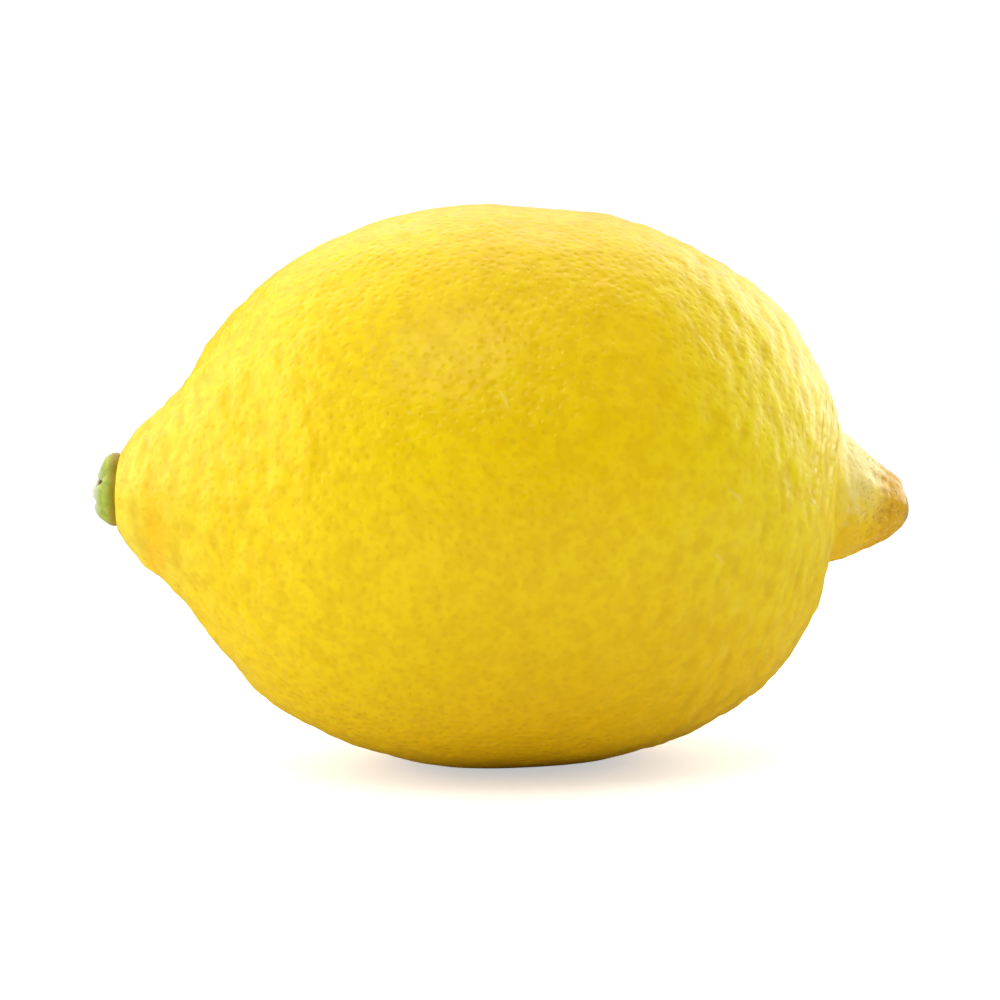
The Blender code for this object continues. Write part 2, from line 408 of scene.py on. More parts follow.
# %% Lobes, flutes and ribs
BELLY_LOBES = [(2, 0.006, 0.7), (3, 0.005, 2.1), (5, 0.003, 0.4)]
NECK_FLUTES = 9
NECK_FLUTE_DEPTH = 0.22 * MM
NIPPLE_RIBS = 7
NIPPLE_RIB_DEPTH = 0.16 * MM


def smooth_step(value):
    value = np.clip(value, 0.0, 1.0)
    return value * value * (3.0 - 2.0 * value)


def between(length, start_mm, end_mm):
    """A smooth step from 0 to 1 as a length goes from start to end."""
    return smooth_step((length - start_mm * MM) / ((end_mm - start_mm) * MM))


def around(turn, toward_degrees, sharpness):
    """1 on the side of the core at this turn, fading to 0 on the opposite side."""
    return (0.5 + 0.5 * np.cos(turn - math.radians(toward_degrees))) ** sharpness


def fruit_swell(axial, radius, turn):
    """Lobes on the belly, flutes on the neck and ribs on the nipple."""
    lobes = sum(share * np.cos(count * turn + phase) for count, share, phase in BELLY_LOBES)
    belly = between(radius, 12.0, 26.0)
    neck = between(radius, 5.5, 8.5) * between(axial, -30.0, -36.0)
    nipple = between(axial, 39.0, 42.0) * between(radius, 1.5, 3.5)
    flutes = NECK_FLUTE_DEPTH * np.cos(NECK_FLUTES * turn + 0.8)
    ribs = NIPPLE_RIB_DEPTH * np.cos(NIPPLE_RIBS * turn + 1.9)
    return axial, radius * (1.0 + belly * lobes) + neck * flutes + nipple * ribs


deepest = max(share for _, share, _ in BELLY_LOBES) * rim[:, 1].max()
print("deepest lobe in mm:", round(deepest / MM, 2))

# %% [markdown]
# ## Folds finer than the solid's
# Close up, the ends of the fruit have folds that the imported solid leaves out. The top of the neck is
# slimmer, and its collar leans over the calyx with a furrow behind it. The shoulder is flattened
# beside the nipple and fuller above it. The nipple has a faint waist, a blunt knob, and two sets of
# ridges that wind opposite ways. All are smooth steps and bumps of at most about a millimetre.

# %% Fine folds
NECK_SLIMMING = 0.6 * MM
COLLAR_LEAN = 0.15 * MM
COLLAR_SIDE = -115.0
FURROW_AT = -37.4 * MM
FURROW_WIDTH = 0.9 * MM
FURROW_DEPTH = 0.22 * MM
FURROW_SLANT = 0.8 * MM
FURROW_SIDE = -122.0
NIPPLE_WAIST = 0.10 * MM
NIPPLE_WAIST_AT = 41.8 * MM
NIPPLE_KNOB = 0.30 * MM
NIPPLE_KNOB_AT = 47.0 * MM
NIPPLE_BLUNTING = 0.45 * MM
SHOULDER_FLATNESS = 0.9 * MM
SHOULDER_SIDE = -75.0
RIDGE_DEPTH = 0.09 * MM


def furrow(axial, turn):
    """How deep in the furrow behind the collar each point is, from 0 to 1."""
    slant = FURROW_SLANT * np.cos(turn - math.radians(FURROW_SIDE))
    return np.exp(-((axial - FURROW_AT - slant) / FURROW_WIDTH) ** 2) * around(turn, FURROW_SIDE, 7)


def fruit_folds(axial, radius, turn):
    """The neck's slimmer top, its collar and furrow, the shoulder, and the nipple's own folds."""
    slim = NECK_SLIMMING * between(axial, -31.0, -37.0) * between(radius, 3.6, 4.6) * around(turn, 0.0, 2)
    collar = between(axial, -38.6, -40.2) * between(radius, 3.4, 4.4)
    lean = COLLAR_LEAN * collar * np.cos(turn - math.radians(COLLAR_SIDE))
    depth = FURROW_DEPTH * furrow(axial, turn)

    waist = NIPPLE_WAIST * np.exp(-((axial - NIPPLE_WAIST_AT) / (2.2 * MM)) ** 2) * around(turn, 0.0, 1)
    knob = NIPPLE_KNOB * np.exp(-((axial - NIPPLE_KNOB_AT) / (1.8 * MM)) ** 2) * between(radius, 0.0, 1.8)
    blunt = NIPPLE_BLUNTING * between(axial, 45.5, 49.0)
    wind = (axial - 40.0 * MM) / MM
    ridges = RIDGE_DEPTH * (np.cos(11 * turn + 0.30 * wind) + 0.7 * np.cos(17 * turn - 0.45 * wind + 1.0))
    ridges = ridges * between(axial, 38.6, 41.0) * between(radius, 1.2, 3.2)

    radius = radius - slim - depth - waist + knob + ridges
    shoulder = between(axial, 24.0, 33.0) * between(radius, 7.2, 9.4)
    flat = SHOULDER_FLATNESS * shoulder * (around(turn, SHOULDER_SIDE, 6) - 0.7 * around(turn, 0.0, 3))
    return axial - lean - blunt - flat, radius


print("the furrow runs deepest at", FURROW_SIDE, "degrees from the top")

# %% [markdown]
# ## Sepals and stalk
# The calyx is a turned button too, and its sepals come from notches round its rim, the one toward
# the upper front open and the others nearly grown shut. The sepals stand a little unevenly. The
# stalk was clipped askew.

# %% Sepals and stalk
SEPALS = 5
SEPAL_TURN = 2.0
SEPAL_SIDE = -55.0
SEPAL_NOTCH = 0.09
SEPAL_GAP = 0.85 * MM
SEPAL_SWAY = 0.20 * MM
SEPAL_RIPPLE = 0.08 * MM
STALK_SKEW = 0.14 * MM


def calyx_swell(axial, radius, turn):
    """Notches between the sepals, which open the rim of the button, and sepals of unlike height."""
    notch = (0.5 - 0.5 * np.cos(SEPALS * turn + SEPAL_TURN)) ** 3
    notch = notch * (0.10 + 0.90 * around(turn, SEPAL_SIDE, 6))
    outer = between(radius, 1.4, 2.6)
    face = between(axial, -42.2, -43.1)
    uneven = SEPAL_SWAY * np.cos(turn) + SEPAL_RIPPLE * np.cos(3.0 * turn + 0.6)
    return axial + face * (SEPAL_GAP * notch + uneven), radius * (1.0 - SEPAL_NOTCH * notch * outer)


def stalk_swell(axial, radius, turn):
    """A stalk clipped a little askew, with a faintly angular rim."""
    end = between(axial, -42.9, -43.4)
    return axial + STALK_SKEW * end * np.cos(turn - 0.6), radius * (1.0 + 0.05 * np.cos(5.0 * turn))


print("sepals:", SEPALS)

# %% [markdown]
# ## Bends and the lying place
# The core bows, the neck and the nipple bend off it, and the fruit tilts onto its flat spot. These
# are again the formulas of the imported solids. The last function does it all to a mesh: it swells
# it round its core, bends and tilts it, and moves it to its packed place.

# %% Bend, lie and grow
CORE_BOW = 0.55 * MM
CORE_BOW_REACH = 40.0 * MM
NECK_BEND = (-30.0 * MM, -9.0 * MM, math.radians(-1.0), math.radians(-13.0))
NIPPLE_BEND = (34.0 * MM, 5.0 * MM, math.radians(6.5), math.radians(0.0))
PITCH = math.radians(2.0)


def bend(points, start, reach, droop, sideways):
    """Turn what lies beyond start, more and more over the reach, about an axis through start."""
    weight = smooth_step((points[:, 0] - start) / reach)
    x, y, z = points[:, 0] - start, points[:, 1], points[:, 2]
    down, side = droop * weight, sideways * weight
    x, z = x * np.cos(down) + z * np.sin(down), z * np.cos(down) - x * np.sin(down)
    x, y = x * np.cos(side) - y * np.sin(side), y * np.cos(side) + x * np.sin(side)
    return np.column_stack([x + start, y, z])


def lying(points):
    """The bow, the bends and the lying tilt, before the fruit is moved over the origin."""
    grown = bend(bend(points, *NECK_BEND), *NIPPLE_BEND)
    grown[:, 2] -= CORE_BOW * (grown[:, 0] / CORE_BOW_REACH) ** 2
    x, y, z = grown.T
    return np.column_stack([
        x * math.cos(PITCH) + z * math.sin(PITCH), y, z * math.cos(PITCH) - x * math.sin(PITCH)
    ])


def read_points(mesh):
    points = np.empty(len(mesh.vertices) * 3)
    mesh.vertices.foreach_get("co", points)
    return points.reshape(-1, 3)


def write_points(mesh, points):
    mesh.vertices.foreach_set("co", np.ascontiguousarray(points).ravel())
    mesh.update()


def grow(mesh, swells, move):
    x, y, z = read_points(mesh).T
    radius, turn = np.hypot(y, z), np.arctan2(y, z)
    for swell in swells:
        x, radius = swell(x, radius, turn)
    write_points(mesh, lying(np.column_stack([x, radius * np.sin(turn), radius * np.cos(turn)])) + move)


print("the neck bends sideways by", round(math.degrees(NECK_BEND[3])), "degrees")

# %% [markdown]
# ## The fruit's body
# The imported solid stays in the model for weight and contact. A finer ball of about 98,000 quads
# takes its place to the eye, which is one quad every 0.4 mm: enough for the dimples of the rind to
# be real shape. It must lie exactly where the solid does, so a plain coarse ball is grown first and
# its box is laid on the solid's. Two attributes are kept for the rind material: how deep in the
# furrow a point is, and its turn round the core, up from the front.

# %% The fruit's body
FRUIT_CELLS = 128
PLAIN_CELLS = 48
low, high = (np.array(corner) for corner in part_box("fruit"))
solid_shape = turned_piece("plain_lemon", FRUIT_OUTLINE, PLAIN_CELLS, None)
grow(solid_shape.data, [fruit_swell], np.zeros(3))
shape = read_points(solid_shape.data)
PLACE = np.array([
    (low[0] + high[0] - shape[:, 0].min() - shape[:, 0].max()) / 2,
    (low[1] + high[1] - shape[:, 1].min() - shape[:, 1].max()) / 2,
    high[2] - shape[:, 2].max(),
])
bpy.data.objects.remove(solid_shape)
print("moved by mm:", (PLACE / MM).round(2), "lowest point before the rest spot is pressed flat:",
      round((shape[:, 2].min() + PLACE[2]) / MM, 2))

fruit = turned_piece("lemon_fruit", FRUIT_OUTLINE, FRUIT_CELLS, None)
x, y, z = read_points(fruit.data).T
for name, values in (("furrow", furrow(x, np.arctan2(y, z))), ("rise", np.arctan2(z, -y))):
    fruit.data.attributes.new(name, "FLOAT", "POINT").data.foreach_set("value", values.astype(np.float32))
grow(fruit.data, [fruit_swell, fruit_folds], PLACE)

# %% [markdown]
# ## Oil glands with Geometry Nodes
# Oil glands sit about a millimetre apart in the rind, and each dents it a little. They are many,
# irregular and follow the surface, so a tree scatters them: Poisson-disk points keep a least
# distance, as real glands do. Each gland gets a size by chance. The first function below finds the
# closest gland to every point of the mesh, and that gland's size.

# %% Geometry Nodes: the closest gland
GLANDS_PER_M2 = 4.0e6


def closest_gland(tree, surface, spacing_mm, seed):
    spacing = add_node(tree, "ShaderNodeMath", spacing_mm, MM, operation="MULTIPLY")
    scattered = add_node(tree, "GeometryNodeDistributePointsOnFaces", named={
        "Mesh": surface, "Distance Min": spacing, "Density Max": GLANDS_PER_M2, "Seed": seed,
    }, out="Points", distribute_method="POISSON")
    chance = add_node(tree, "FunctionNodeRandomValue", named={"Seed": seed}, out=1, data_type="FLOAT")
    glands = add_node(tree, "GeometryNodeStoreNamedAttribute", named={
        "Geometry": scattered, "Name": "size", "Value": chance,
    }, data_type="FLOAT", domain="POINT")
    position = add_node(tree, "GeometryNodeInputPosition")
    size = add_node(tree, "GeometryNodeInputNamedAttribute", "size", data_type="FLOAT")
    nearest = add_node(tree, "GeometryNodeSampleNearest", glands, domain="POINT")
    return [
        add_node(tree, "GeometryNodeSampleIndex", named={
            "Geometry": glands, "Value": value, "Index": nearest,
        }, data_type=kind, domain="POINT")
        for value, kind in ((position, "FLOAT_VECTOR"), (size, "FLOAT"))
    ]


print("most glands per cm2 before the least distance thins them:", GLANDS_PER_M2 / 1.0e4)

# %% [markdown]
# ## Pebbles, ripples and lumps
# Between the glands the rind is pebbly: soft swellings two to three millimetres across. Toward the
# shoulder and the neck they turn into short ripples that run round the fruit, because the skin was
# drawn in there as it grew. Each is smooth noise, read at the distance along the rind and at the
# place round the fruit, and stretched round it.

# %% Geometry Nodes: swellings
NOISE_SWING = 4.0


def swelling(tree, size_mm, stretch, depth_mm):
    """Lumps of this size along the rind, stretched round the fruit, as a push in mm."""
    position = add_node(tree, "GeometryNodeInputPosition")
    part = add_node(tree, "ShaderNodeSeparateXYZ", position, out=None)
    down = add_node(tree, "GeometryNodeInputNamedAttribute", "along_rind", data_type="FLOAT")
    size = add_node(tree, "ShaderNodeMath", size_mm, MM, operation="MULTIPLY")
    length = add_node(tree, "ShaderNodeMath", size, stretch, operation="MULTIPLY")
    place = add_node(tree, "ShaderNodeCombineXYZ", *[
        add_node(tree, "ShaderNodeMath", way, unit, operation="DIVIDE")
        for way, unit in ((down, size), (part["Y"], length), (part["Z"], length))
    ])
    noise = add_node(tree, "ShaderNodeTexNoise", named={"Vector": place, "Scale": 1.0, "Detail": 0.0})
    centred = add_node(tree, "ShaderNodeMath", noise, 0.5, operation="SUBTRACT")
    swing = add_node(tree, "ShaderNodeMath", depth_mm, NOISE_SWING, operation="MULTIPLY")
    return add_node(tree, "ShaderNodeMath", centred, swing, operation="MULTIPLY")


print("noise strays about", 1.0 / NOISE_SWING, "from its middle, so it is multiplied by", NOISE_SWING)

# %% [markdown]
# ## The whole rind tree
# The dimples and the swellings are added up and push every point along its normal. They fade out
# on the resting spot and beside the calyx. Every face keeps its closest gland's place and size, so
# that the material can draw a pit finer than the mesh, and every point how deep in a ripple's crease
# it is, which the material uses for painted shade in the creases and painted light on the crests.

# %% Geometry Nodes: the rind
def rind_tree():
    tree = new_tree("glands_and_pebbles", [
        ("Geometry", "NodeSocketGeometry", None),
        ("Gland spacing", "NodeSocketFloat", 1.0),
        ("Dimple radius", "NodeSocketFloat", 0.5),
        ("Dimple depth", "NodeSocketFloat", 0.05),
        ("Pebble size", "NodeSocketFloat", 2.4),
        ("Pebble depth", "NodeSocketFloat", 0.05),
        ("Ripple size", "NodeSocketFloat", 1.5),
        ("Ripple depth", "NodeSocketFloat", 0.1),
        ("Lump size", "NodeSocketFloat", 9.0),
        ("Lump depth", "NodeSocketFloat", 0.1),
        ("Seed", "NodeSocketInt", 3),
        ("Material", "NodeSocketMaterial", None),
    ])
    given = add_node(tree, "NodeGroupInput", out=None)
    mesh = given["Geometry"]
    place, size = closest_gland(tree, mesh, given["Gland spacing"], given["Seed"])
    position = add_node(tree, "GeometryNodeInputPosition")
    height = add_node(tree, "ShaderNodeSeparateXYZ", position, out="Z")
    along = add_node(tree, "GeometryNodeInputNamedAttribute", "along_core", data_type="FLOAT")
    to_shoulder = mask(tree, (along, -2.0 * MM, 26.0 * MM))
    to_neck = mask(tree, (along, -18.0 * MM, -36.0 * MM))

    away = add_node(tree, "ShaderNodeVectorMath", position, place, out="Value", operation="DISTANCE")
    reach = add_node(tree, "ShaderNodeMath", given["Dimple radius"], MM, operation="MULTIPLY")
    dimple = mask(tree, (away, reach, 0.0))
    strength = add_node(tree, "ShaderNodeMath", size, 0.8, 0.4, operation="MULTIPLY_ADD")
    fainter = add_node(tree, "ShaderNodeMath", to_shoulder, -0.5, 1.0, operation="MULTIPLY_ADD")
    for share in (strength, given["Dimple depth"], fainter):
        dimple = add_node(tree, "ShaderNodeMath", dimple, share, operation="MULTIPLY")

    coarser = add_node(tree, "ShaderNodeMath", to_shoulder, 0.9, 0.8, operation="MULTIPLY_ADD")
    pebbly = add_node(tree, "ShaderNodeMath", coarser, to_neck, operation="ADD")
    rippled = add_node(tree, "ShaderNodeMath", to_neck, to_shoulder, operation="ADD")
    fine_size = add_node(tree, "ShaderNodeMath", given["Pebble size"], 0.55, operation="MULTIPLY")
    fine_depth = add_node(tree, "ShaderNodeMath", given["Pebble depth"], 0.35, operation="MULTIPLY")
    raised = 0.0
    for lump, stretch, depth, share in (
        (given["Pebble size"], 1.3, given["Pebble depth"], pebbly),
        (fine_size, 1.3, fine_depth, pebbly),
        (given["Lump size"], 1.0, given["Lump depth"], 1.0),
        (given["Ripple size"], 2.4, given["Ripple depth"], rippled),
    ):
        swell = swelling(tree, lump, stretch, depth)
        swell = add_node(tree, "ShaderNodeMath", swell, share, operation="MULTIPLY")
        raised = add_node(tree, "ShaderNodeMath", raised, swell, operation="ADD")
    crease = add_node(tree, "ShaderNodeMath", swell, -1.0, operation="MULTIPLY")
    push = add_node(tree, "ShaderNodeMath", raised, dimple, operation="SUBTRACT")

    off_floor = mask(tree, (height, 0.0, 2.0 * MM, 0.0, MM))
    off_seat = mask(tree, (along, -40.3 * MM, -37.5 * MM, 0.1, 1.0))
    for share in (off_floor, off_seat):
        push = add_node(tree, "ShaderNodeMath", push, share, operation="MULTIPLY")
    normal = add_node(tree, "GeometryNodeInputNormal")
    offset = add_node(tree, "ShaderNodeVectorMath", normal, named={"Scale": push}, operation="SCALE")
    for name, value, kind, domain in (
        ("crease", crease, "FLOAT", "POINT"),
        ("gland_place", place, "FLOAT_VECTOR", "FACE"),
        ("gland_size", size, "FLOAT", "FACE"),
    ):
        mesh = add_node(tree, "GeometryNodeStoreNamedAttribute", named={
            "Geometry": mesh, "Name": name, "Value": value,
        }, data_type=kind, domain=domain)
    moved = add_node(tree, "GeometryNodeSetPosition", mesh, named={"Offset": offset})
    finish_tree(tree, moved, given["Material"])
    return tree


RIND_TREE = rind_tree()
print("nodes in the tree that pits the rind:", len(RIND_TREE.nodes))

# %% [markdown]
# ## Pits and rub marks
# Lemon rind is a thin waxy film over a saturated yellow skin. Two kinds of marks on it are drawn by
# the material because they are finer than the mesh: the pit over each oil gland, with a rim that
# wanders a little, and a few dry streaks where the fruit rubbed on a twig. A streak is found by
# unrolling the rind near it: the distance along the core one way, the distance round it the other.

# %% Pits and rub marks
PIT_RADIUS = (0.28 * MM, 0.20 * MM)
PIT_WANDER = 0.45 * MM
WANDER_SIZE = 0.8 * MM
RUB_WIDTH = 0.32 * MM
RUB_WOBBLE = 0.4 * MM
# Both ends of each mark: (mm along the core, degrees above the front).
RUB_MARKS = [
    ((16.4, 42.0), (18.6, 34.0)), ((18.5, 8.0), (20.8, 4.0)), ((17.3, -5.0), (18.6, -9.0)),
    ((29.9, 9.0), (33.2, -1.0)), ((-5.8, 26.0), (-4.7, 22.0)),
]


def gland_pit(tree, here, size):
    """1 in the middle of a pit, 0 past its rim."""
    gland = add_node(tree, "ShaderNodeAttribute", out="Vector", attribute_name="gland_place")
    wander = add_node(tree, "ShaderNodeTexNoise", named={
        "Vector": here, "Scale": 1 / WANDER_SIZE, "Detail": 1.0,
    }, out="Color")
    nudge = add_node(tree, "ShaderNodeVectorMath", wander, (0.5, 0.5, 0.5), operation="SUBTRACT")
    nudge = add_node(tree, "ShaderNodeVectorMath", nudge, named={"Scale": PIT_WANDER}, operation="SCALE")
    nudged = add_node(tree, "ShaderNodeVectorMath", here, nudge, operation="ADD")
    away = add_node(tree, "ShaderNodeVectorMath", nudged, gland, out="Value", operation="DISTANCE")
    least, more = PIT_RADIUS
    radius = add_node(tree, "ShaderNodeMath", size, more, least, operation="MULTIPLY_ADD")
    return mask(tree, (add_node(tree, "ShaderNodeMath", away, radius, operation="DIVIDE"), 1.3, 0.0))


def rub_mark(tree, along, rise, wobble, ends):
    """1 on a straight streak between two places on the rind."""
    radius = np.interp((ends[0][0] + ends[1][0]) / 2, *np.array(FRUIT_OUTLINE).T) * MM
    first, last = (Vector((x * MM, math.radians(turn) * radius, 0.0)) for x, turn in ends)
    forward = (last - first).normalized()
    sideways = forward.cross(Vector((0.0, 0.0, 1.0)))
    arc = add_node(tree, "ShaderNodeMath", rise, radius, operation="MULTIPLY")
    place = add_node(tree, "ShaderNodeCombineXYZ", along, arc)
    apart = add_node(tree, "ShaderNodeVectorMath", place, (first + last) / 2, operation="SUBTRACT")
    off = []
    for axis in (forward, sideways):
        way = add_node(tree, "ShaderNodeVectorMath", apart, axis, out="Value", operation="DOT_PRODUCT")
        way = add_node(tree, "ShaderNodeMath", way, wobble, operation="ADD")
        off.append(add_node(tree, "ShaderNodeMath", way, operation="ABSOLUTE"))
    half = (last - first).length / 2
    return mask(tree, (off[0], half, half * 0.4), (off[1], RUB_WIDTH, 0.0))


print("rub marks:", len(RUB_MARKS))

# %% [markdown]
# ## The colours of the rind
# The flesh's yellow is dappled at random, and a little greener and paler toward the shoulder, more
# so on top, where that is painted light from above. Painted light from the left makes it more
# lemon-yellow toward the stem end, and painted bounce light and shade from the paper make it warmer
# underneath. The neck is paler, partly in its own tone and partly as painted sheen, and the pits are
# darker, partly in the glands' own tone and partly as painted shade. The ripples are painted with
# shade in their creases and light on their crests, and the furrow behind the collar is painted a
# deep warm yellow as shade. The nipple is pale above and painted golden below as shade behind the
# shoulder, and its tip is tan, flecked and speckled brown where the flower's style dried. Each is a
# layer: a mask that says how much of it there is, and its colour.

# %% Layers of colour
def painted(tree, ground, layers):
    """Lay colours over a ground, each as much as its mask says."""
    for share, colour in layers:
        ground = add_node(tree, "ShaderNodeMix", named={
            "Factor": share, 6: ground, 7: linear(colour),
        }, out=2, data_type="RGBA")
    return ground


def rind_layers(tree, along, height, noise, pit, size, rubbed):
    """The layers of the rind, from the ground up."""
    crease, furrow_shade = [
        add_node(tree, "ShaderNodeAttribute", out="Fac", attribute_name=name)
        for name in ("crease", "furrow")
    ]
    pitted = add_node(tree, "ShaderNodeMath", size, 0.14, 0.04, operation="MULTIPLY_ADD")
    pitted = add_node(tree, "ShaderNodeMath", pit, pitted, operation="MULTIPLY")
    rubbed = add_node(tree, "ShaderNodeMath", rubbed, 0.35, operation="MULTIPLY")
    furrow_shade = add_node(tree, "ShaderNodeMath", furrow_shade, 0.85, operation="MULTIPLY")
    blotchy, level = [
        add_node(tree, "ShaderNodeMath", noise["speckle"], swing, place, operation="MULTIPLY_ADD")
        for swing, place in ((10.0 * MM, height), (5.0 * MM, along))
    ]
    return [
        (mask(tree, (noise["patch"], 0.35, 0.65)), "F1CE00"),
        (mask(tree, (noise["mottle"], 0.35, 0.7, 0.0, 0.35)), "F5D804"),
        # Greener and paler toward the shoulder; stronger on top, which is painted light from above.
        (mask(tree, (along, 6 * MM, 28 * MM, 0.0, 0.75), (height, 14 * MM, 42 * MM, 0.35, 1.0)), "EBDA18"),
        # Painted bounce light and shade: warmer toward the underside.
        (mask(tree, (height, 30 * MM, 0.0, 0.0, 0.6)), "F2B600"),
        # Painted light from the left: more lemon-yellow toward the stem end.
        (mask(tree, (along, 5 * MM, -32 * MM, 0.0, 0.6)), "F8DA08"),
        # Paler on the neck: partly its own tone, partly painted sheen.
        (mask(tree, (along, -30 * MM, -39 * MM, 0.0, 0.6)), "F2DC44"),
        (mask(tree, (noise["dapple"], 0.38, 0.62, 0.0, 0.30)), "DDAE00"),
        # Darker in the pits: partly the glands' own tone, partly painted shade.
        (pitted, "D2A200"),
        (rubbed, "F2E07A"),
        # Painted shade in the ripple creases, and painted light on their crests below.
        (mask(tree, (crease, 0.0, 0.12, 0.0, 0.30)), "C9A200"),
        (mask(tree, (crease, 0.0, -0.12, 0.0, 0.20)), "F6E050"),
        # Painted shade: a deep warm yellow in the furrow behind the collar.
        (furrow_shade, "F5BE04"),
        # Painted shade: golden on the lower nipple root, behind the shoulder.
        (mask(tree, (height, 31 * MM, 23 * MM, 0.0, 0.9), (along, 37.0 * MM, 38.5 * MM)), "EABE00"),
        (mask(tree, (blotchy, 30 * MM, 37 * MM, 0.0, 0.8), (along, 37.4 * MM, 39.5 * MM)), "EEDC8C"),
        (mask(tree, (level, 44.5 * MM, 48.0 * MM, 0.0, 0.85)), "D6A000"),
        (mask(tree, (level, 50.0 * MM, 51.6 * MM, 0.0, 0.7)), "9A8A5C"),
        (mask(tree, (noise["fleck"], 0.55, 0.65), (along, 39 * MM, 45 * MM, 0.0, 0.55)), "F2C65A"),
        (mask(tree, (noise["brown"], 0.56, 0.66), (along, 38.5 * MM, 42 * MM, 0.0, 0.5)), "B98A10"),
    ]


print("pit shade in linear light:", [round(c, 3) for c in linear("D2A200")])

# %% [markdown]
# ## Lemon rind
# Waxed lemon rind is slightly translucent and full of clear oil, so light that enters comes out
# warmer: a little subsurface scattering with a long reach for red. The wax is a thin film of about
# the index of oil, not polished, so the gloss is broad and weak. The relief too fine for the mesh
# is bump: cushions between the glands, grain, pits, rub marks and the nipple's wrinkles.

# %% Rind material
RELIEF_DEPTH = 0.11 * MM
NOISES = {
    # name: (size of its lumps in mm, detail)
    "patch": (14.0, 2.0), "mottle": (2.0, 3.0), "dapple": (1.7, 1.0), "wobble": (1.0, 2.0),
    "speckle": (1.1, 3.0), "fleck": (0.7, 2.0), "brown": (0.55, 2.0), "grain": (0.35, 2.0),
    "cushion": (1.2, 1.0), "wrinkle": (0.9, 2.0),
}


def new_material(name):
    made = bpy.data.materials.new(name)
    made.use_nodes = True
    made.node_tree.nodes.clear()
    return made, made.node_tree


def rind_material():
    made, tree = new_material("waxy_lemon_rind")
    here = add_node(tree, "ShaderNodeTexCoord", out="Object")
    height = add_node(tree, "ShaderNodeSeparateXYZ", here, out="Z")
    along, rise, size = [
        add_node(tree, "ShaderNodeAttribute", out="Fac", attribute_name=name)
        for name in ("along_core", "rise", "gland_size")
    ]
    noise = {
        name: add_node(tree, "ShaderNodeTexNoise", named={
            "Vector": here, "Scale": 1 / (lump * MM), "Detail": detail, "Roughness": 0.55,
        })
        for name, (lump, detail) in NOISES.items()
    }
    pit = gland_pit(tree, here, size)
    wobble = (noise["wobble"], 2 * RUB_WOBBLE, -RUB_WOBBLE)
    wobble = add_node(tree, "ShaderNodeMath", *wobble, operation="MULTIPLY_ADD")
    rubbed = 0.0
    for ends in RUB_MARKS:
        mark = rub_mark(tree, along, rise, wobble, ends)
        rubbed = add_node(tree, "ShaderNodeMath", rubbed, mark, operation="MAXIMUM")
    layers = rind_layers(tree, along, height, noise, pit, size, rubbed)
    skin = painted(tree, linear("EFC800"), layers)

    relief = 0.0
    for what, share in (
        (noise["grain"], 0.15),
        (noise["cushion"], mask(tree, (along, -5 * MM, 30 * MM, 1.0, 0.6))),
        (pit, mask(tree, (along, -5 * MM, 30 * MM, -0.6, -0.35))),
        (rubbed, 0.5),
        (noise["wrinkle"], mask(tree, (along, 38 * MM, 40 * MM, 0.0, 1.5))),
    ):
        relief = add_node(tree, "ShaderNodeMath", what, share, relief, operation="MULTIPLY_ADD")
    bump = add_node(tree, "ShaderNodeBump", named={
        "Strength": 1.0, "Distance": RELIEF_DEPTH, "Height": relief,
    })
    shader = add_node(tree, "ShaderNodeBsdfPrincipled", named={
        "Base Color": skin, "Roughness": mask(tree, (noise["mottle"], 0.3, 0.7, 0.30, 0.40)),
        "Normal": bump, "IOR": 1.45, "Specular IOR Level": 0.22, "Subsurface Weight": 0.12,
        "Subsurface Radius": (1.0, 0.45, 0.08), "Subsurface Scale": 0.0015,
    })
    add_node(tree, "ShaderNodeOutputMaterial", shader)
    return made


RIND = rind_material()
print("nodes in the rind material:", len(RIND.node_tree.nodes))

# %% [markdown]
# ## Pitting the fruit
# The tree runs on the smooth fruit with this lemon's own sizes, in millimetres. Real glands are
# 0.8 to 1.2 mm apart and dent the rind by a few hundredths. Whatever would reach below the floor is
# pressed flat onto it, which is how the fruit's own weight makes its resting spot.

# %% Pit the fruit
run_tree(fruit, RIND_TREE, {
    "Gland spacing": 0.95, "Dimple radius": 0.55, "Dimple depth": 0.04,
    "Pebble size": 2.4, "Pebble depth": 0.062, "Ripple size": 1.3, "Ripple depth": 0.10,
    "Lump size": 9.0, "Lump depth": 0.12, "Seed": 3, "Material": RIND,
})
shape = read_points(fruit.data)
shape[:, 2] = np.maximum(shape[:, 2], 0.0)
write_points(fruit.data, shape)
print("pitted:", len(fruit.data.polygons), "quads, of which",
      sum(1 for face in fruit.data.polygons if face.center.z < 0.01 * MM), "lie on the floor")

# %% [markdown]
# ## The calyx button
# Five blunt sepals, grown together at the foot, that held the flower and now hold the fruit. It is
# fleshy and green and pale along its rim, with painted shade in olive-brown where it meets the rind.
# It is turned like the fruit, then notched between the sepals, so that the socket, painted nearly
# black as shade, shows through a notch.

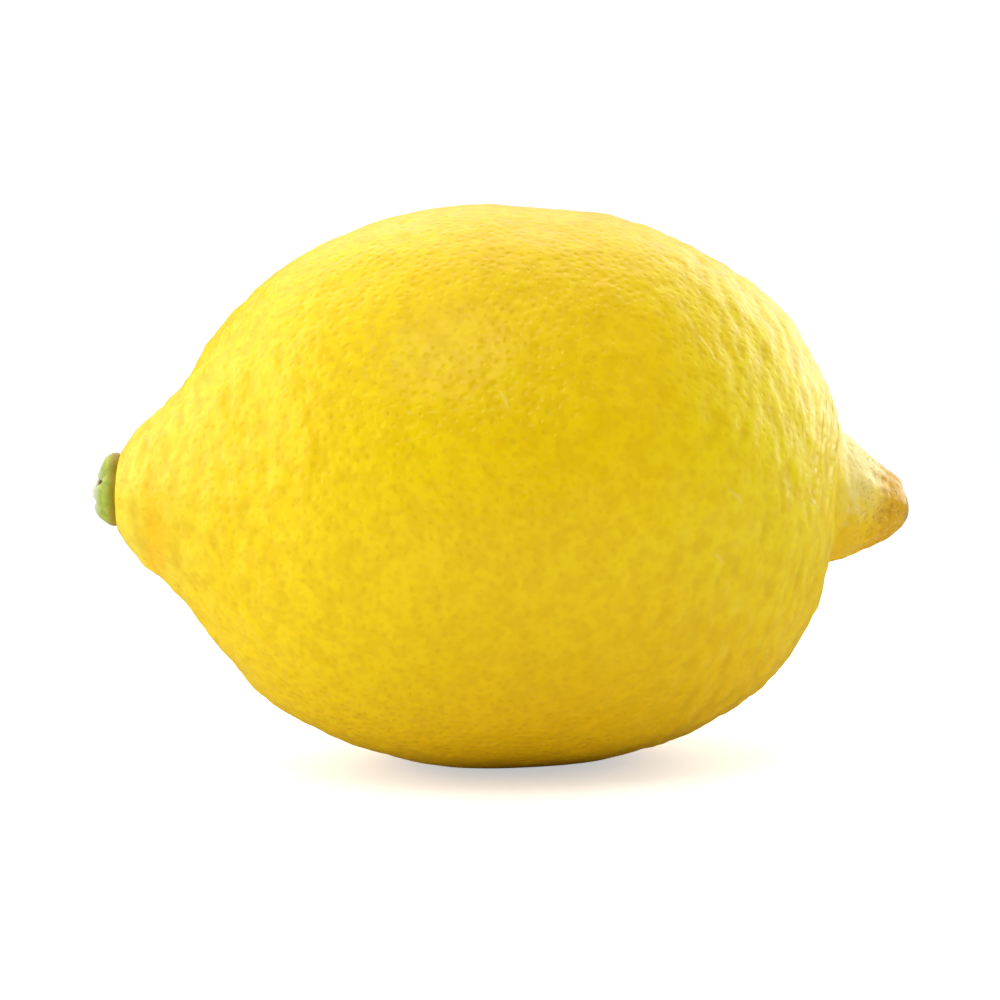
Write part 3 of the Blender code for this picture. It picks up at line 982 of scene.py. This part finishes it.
# %% Calyx
def calyx_material():
    made, tree = new_material("green_calyx")
    here = add_node(tree, "ShaderNodeTexCoord", out="Object")
    along, outward = [
        add_node(tree, "ShaderNodeAttribute", out="Fac", attribute_name=name)
        for name in ("along_core", "from_core")
    ]
    blotch, pore = [
        add_node(tree, "ShaderNodeTexNoise", named={
            "Vector": here, "Scale": 1 / (lump * MM), "Detail": detail, "Roughness": 0.55,
        })
        for lump, detail in ((1.1, 3.0), (0.3, 2.0))
    ]
    wander = add_node(tree, "ShaderNodeMath", blotch, 1.2 * MM, -0.6 * MM, operation="MULTIPLY_ADD")
    level = add_node(tree, "ShaderNodeMath", along, wander, operation="ADD")
    green = painted(tree, linear("8FA01E"), [
        (mask(tree, (blotch, 0.35, 0.65)), "B2BE45"),
        (mask(tree, (level, -42.4 * MM, -43.3 * MM, 0.0, 0.8)), "C6CDA0"),
        # Painted shade: olive-brown where the button meets the rind.
        (mask(tree, (level, -42.0 * MM, -41.2 * MM, 0.0, 0.9)), "A48C10"),
        # Painted shade: the socket round the stalk is nearly black.
        (mask(tree, (outward, 1.7 * MM, 1.1 * MM)), "2E2A0C"),
    ])
    relief = add_node(tree, "ShaderNodeMath", pore, 0.4, blotch, operation="MULTIPLY_ADD")
    bump = add_node(tree, "ShaderNodeBump", named={
        "Strength": 1.0, "Distance": 0.10 * MM, "Height": relief,
    })
    shader = add_node(tree, "ShaderNodeBsdfPrincipled", named={
        "Base Color": green, "Roughness": 0.5, "Normal": bump, "IOR": 1.45,
        "Specular IOR Level": 0.4, "Subsurface Weight": 0.1, "Subsurface Radius": (0.5, 0.8, 0.1),
        "Subsurface Scale": 0.0006,
    })
    add_node(tree, "ShaderNodeOutputMaterial", shader)
    return made


CALYX_CELLS = 48
calyx = turned_piece("calyx_button", CALYX_OUTLINE, CALYX_CELLS, calyx_material())
grow(calyx.data, [calyx_swell], PLACE)

# %% [markdown]
# ## The clipped stalk
# Lemons are clipped, not pulled, so a short stub of woody stalk stays in the socket. Its cut face
# is pale and dry, its side greenish brown. It is the smallest turned piece, so it has few cells.

# %% Stalk stub
def stalk_material():
    made, tree = new_material("cut_stalk")
    here = add_node(tree, "ShaderNodeTexCoord", out="Object")
    along = add_node(tree, "ShaderNodeAttribute", out="Fac", attribute_name="along_core")
    fibre = add_node(tree, "ShaderNodeTexNoise", named={
        "Vector": here, "Scale": 1 / (0.25 * MM), "Detail": 2.0, "Roughness": 0.55,
    })
    face = painted(tree, linear("CFCBA6"), [(fibre, "ECEADA")])
    bark = painted(tree, linear("6E6A2C"), [(fibre, "98924C")])
    wood = add_node(tree, "ShaderNodeMix", named={
        "Factor": mask(tree, (along, -42.9 * MM, -43.3 * MM)), 6: bark, 7: face,
    }, out=2, data_type="RGBA")
    bump = add_node(tree, "ShaderNodeBump", named={
        "Strength": 0.6, "Distance": 0.05 * MM, "Height": fibre,
    })
    shader = add_node(tree, "ShaderNodeBsdfPrincipled", named={
        "Base Color": wood, "Roughness": 0.75, "Normal": bump, "Specular IOR Level": 0.3,
    })
    add_node(tree, "ShaderNodeOutputMaterial", shader)
    return made


STALK_CELLS = 20
stalk = turned_piece("clipped_stalk", STALK_OUTLINE, STALK_CELLS, stalk_material())
grow(stalk.data, [stalk_swell], PLACE)

# %% [markdown]
# ## Finish
# Every piece rides the one body and takes the place of its imported solid to the eye, and its
# number of triangles is printed.

# %% Finish
for piece, node, slot in (
    (fruit, "fruit", "rind"),
    (calyx, "calyx", "calyx"),
    (stalk, "stalk_stub", "stalk"),
):
    piece.data.shade_smooth()
    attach(piece, "root")
    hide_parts(node)
    triangles = sum(len(face.vertices) - 2 for face in piece.data.polygons)
    print(piece.name, "instead of", node, "triangles:", triangles)
